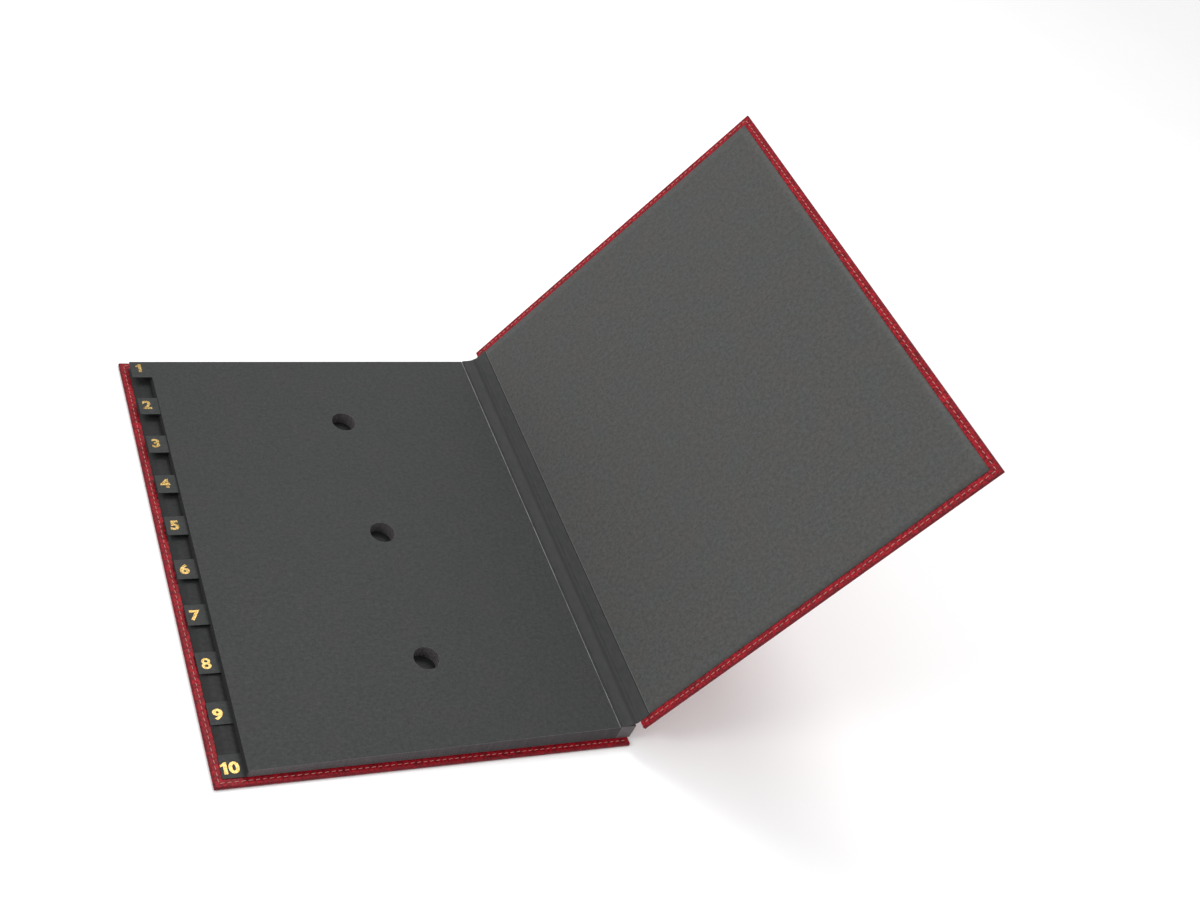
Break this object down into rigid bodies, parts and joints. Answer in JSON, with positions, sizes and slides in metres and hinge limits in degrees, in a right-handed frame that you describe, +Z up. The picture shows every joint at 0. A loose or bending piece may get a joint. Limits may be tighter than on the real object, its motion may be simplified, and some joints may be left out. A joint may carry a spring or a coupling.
{
  "type": "signature book",
  "caption": "Signature book with a stitched leatherette cover, a lid hinged on the spine and black card leaves with stepped index tabs and sight holes.",
  "frame": {"origin": "centre of the flat underside of the base cover", "axes": "+X from the fore-edge to the spine, +Y along the spine from tail to head, +Z up from the surface it lies on"},
  "size_m": [0.4059, 0.345, 0.2482],
  "materials": {
    "leatherette_red": "fine grain, satin",
    "greyboard": "matt",
    "lining_black": "fine texture, matt",
    "card_black": "fine texture, matt",
    "book_cloth_black": "fine weave, matt",
    "thread_beige": "twisted thread",
    "gold_foil": "hot-stamped foil"
  },
  "bodies": {
    "base": {"base_leatherette": "leatherette_red", "base_board": "greyboard", "base_lining": "lining_black", "base_thread": "thread_beige", "spine_leatherette": "leatherette_red", "spine_board": "greyboard", "joint_cloth": "book_cloth_black", "joint_leatherette": "leatherette_red", "guard_01": "book_cloth_black", "guard_02": "book_cloth_black", "guard_03": "book_cloth_black", "guard_04": "book_cloth_black", "guard_05": "book_cloth_black", "guard_06": "book_cloth_black", "guard_07": "book_cloth_black", "guard_08": "book_cloth_black", "guard_09": "book_cloth_black", "guard_10": "book_cloth_black"},
    "lid": {"lid_leatherette": "leatherette_red", "lid_board": "greyboard", "lid_lining": "lining_black", "lid_thread": "thread_beige"},
    "leaf_01": {"leaf_01": "card_black"},
    "leaf_02": {"leaf_02": "card_black"},
    "leaf_03": {"leaf_03": "card_black"},
    "leaf_04": {"leaf_04": "card_black"},
    "leaf_05": {"leaf_05": "card_black"},
    "leaf_06": {"leaf_06": "card_black"},
    "leaf_07": {"leaf_07": "card_black"},
    "leaf_08": {"leaf_08": "card_black"},
    "leaf_09": {"leaf_09": "card_black"},
    "leaf_10": {"leaf_10": "card_black"}
  },
  "joints": [
    {"name": "lid_hinge", "type": "hinge", "parent": "base", "child": "lid", "pos_m": [0.13483, 0, 0.01745], "axis": [0, 1, 0], "range_deg": [-120.5, 59.5], "deforming": ["joint_cloth", "joint_leatherette"]},
    {"name": "leaf_10_turn", "type": "hinge", "parent": "base", "child": "leaf_10", "pos_m": [0.1235, 0, 0.0142], "axis": [0, 1, 0], "range_deg": [0, 9]},
    {"name": "leaf_09_turn", "type": "hinge", "parent": "leaf_10", "child": "leaf_09", "pos_m": [0.1235, 0, 0.0142], "axis": [0, 1, 0], "range_deg": [0, 9]},
    {"name": "leaf_08_turn", "type": "hinge", "parent": "leaf_09", "child": "leaf_08", "pos_m": [0.1235, 0, 0.0142], "axis": [0, 1, 0], "range_deg": [0, 9]},
    {"name": "leaf_07_turn", "type": "hinge", "parent": "leaf_08", "child": "leaf_07", "pos_m": [0.1235, 0, 0.0142], "axis": [0, 1, 0], "range_deg": [0, 9]},
    {"name": "leaf_06_turn", "type": "hinge", "parent": "leaf_07", "child": "leaf_06", "pos_m": [0.1235, 0, 0.0142], "axis": [0, 1, 0], "range_deg": [0, 9]},
    {"name": "leaf_05_turn", "type": "hinge", "parent": "leaf_06", "child": "leaf_05", "pos_m": [0.1235, 0, 0.0142], "axis": [0, 1, 0], "range_deg": [0, 9]},
    {"name": "leaf_04_turn", "type": "hinge", "parent": "leaf_05", "child": "leaf_04", "pos_m": [0.1235, 0, 0.0142], "axis": [0, 1, 0], "range_deg": [0, 9]},
    {"name": "leaf_03_turn", "type": "hinge", "parent": "leaf_04", "child": "leaf_03", "pos_m": [0.1235, 0, 0.0142], "axis": [0, 1, 0], "range_deg": [0, 9]},
    {"name": "leaf_02_turn", "type": "hinge", "parent": "leaf_03", "child": "leaf_02", "pos_m": [0.1235, 0, 0.0142], "axis": [0, 1, 0], "range_deg": [0, 9]},
    {"name": "leaf_01_turn", "type": "hinge", "parent": "leaf_02", "child": "leaf_01", "pos_m": [0.1235, 0, 0.0142], "axis": [0, 1, 0], "range_deg": [0, 75]}
  ]
}
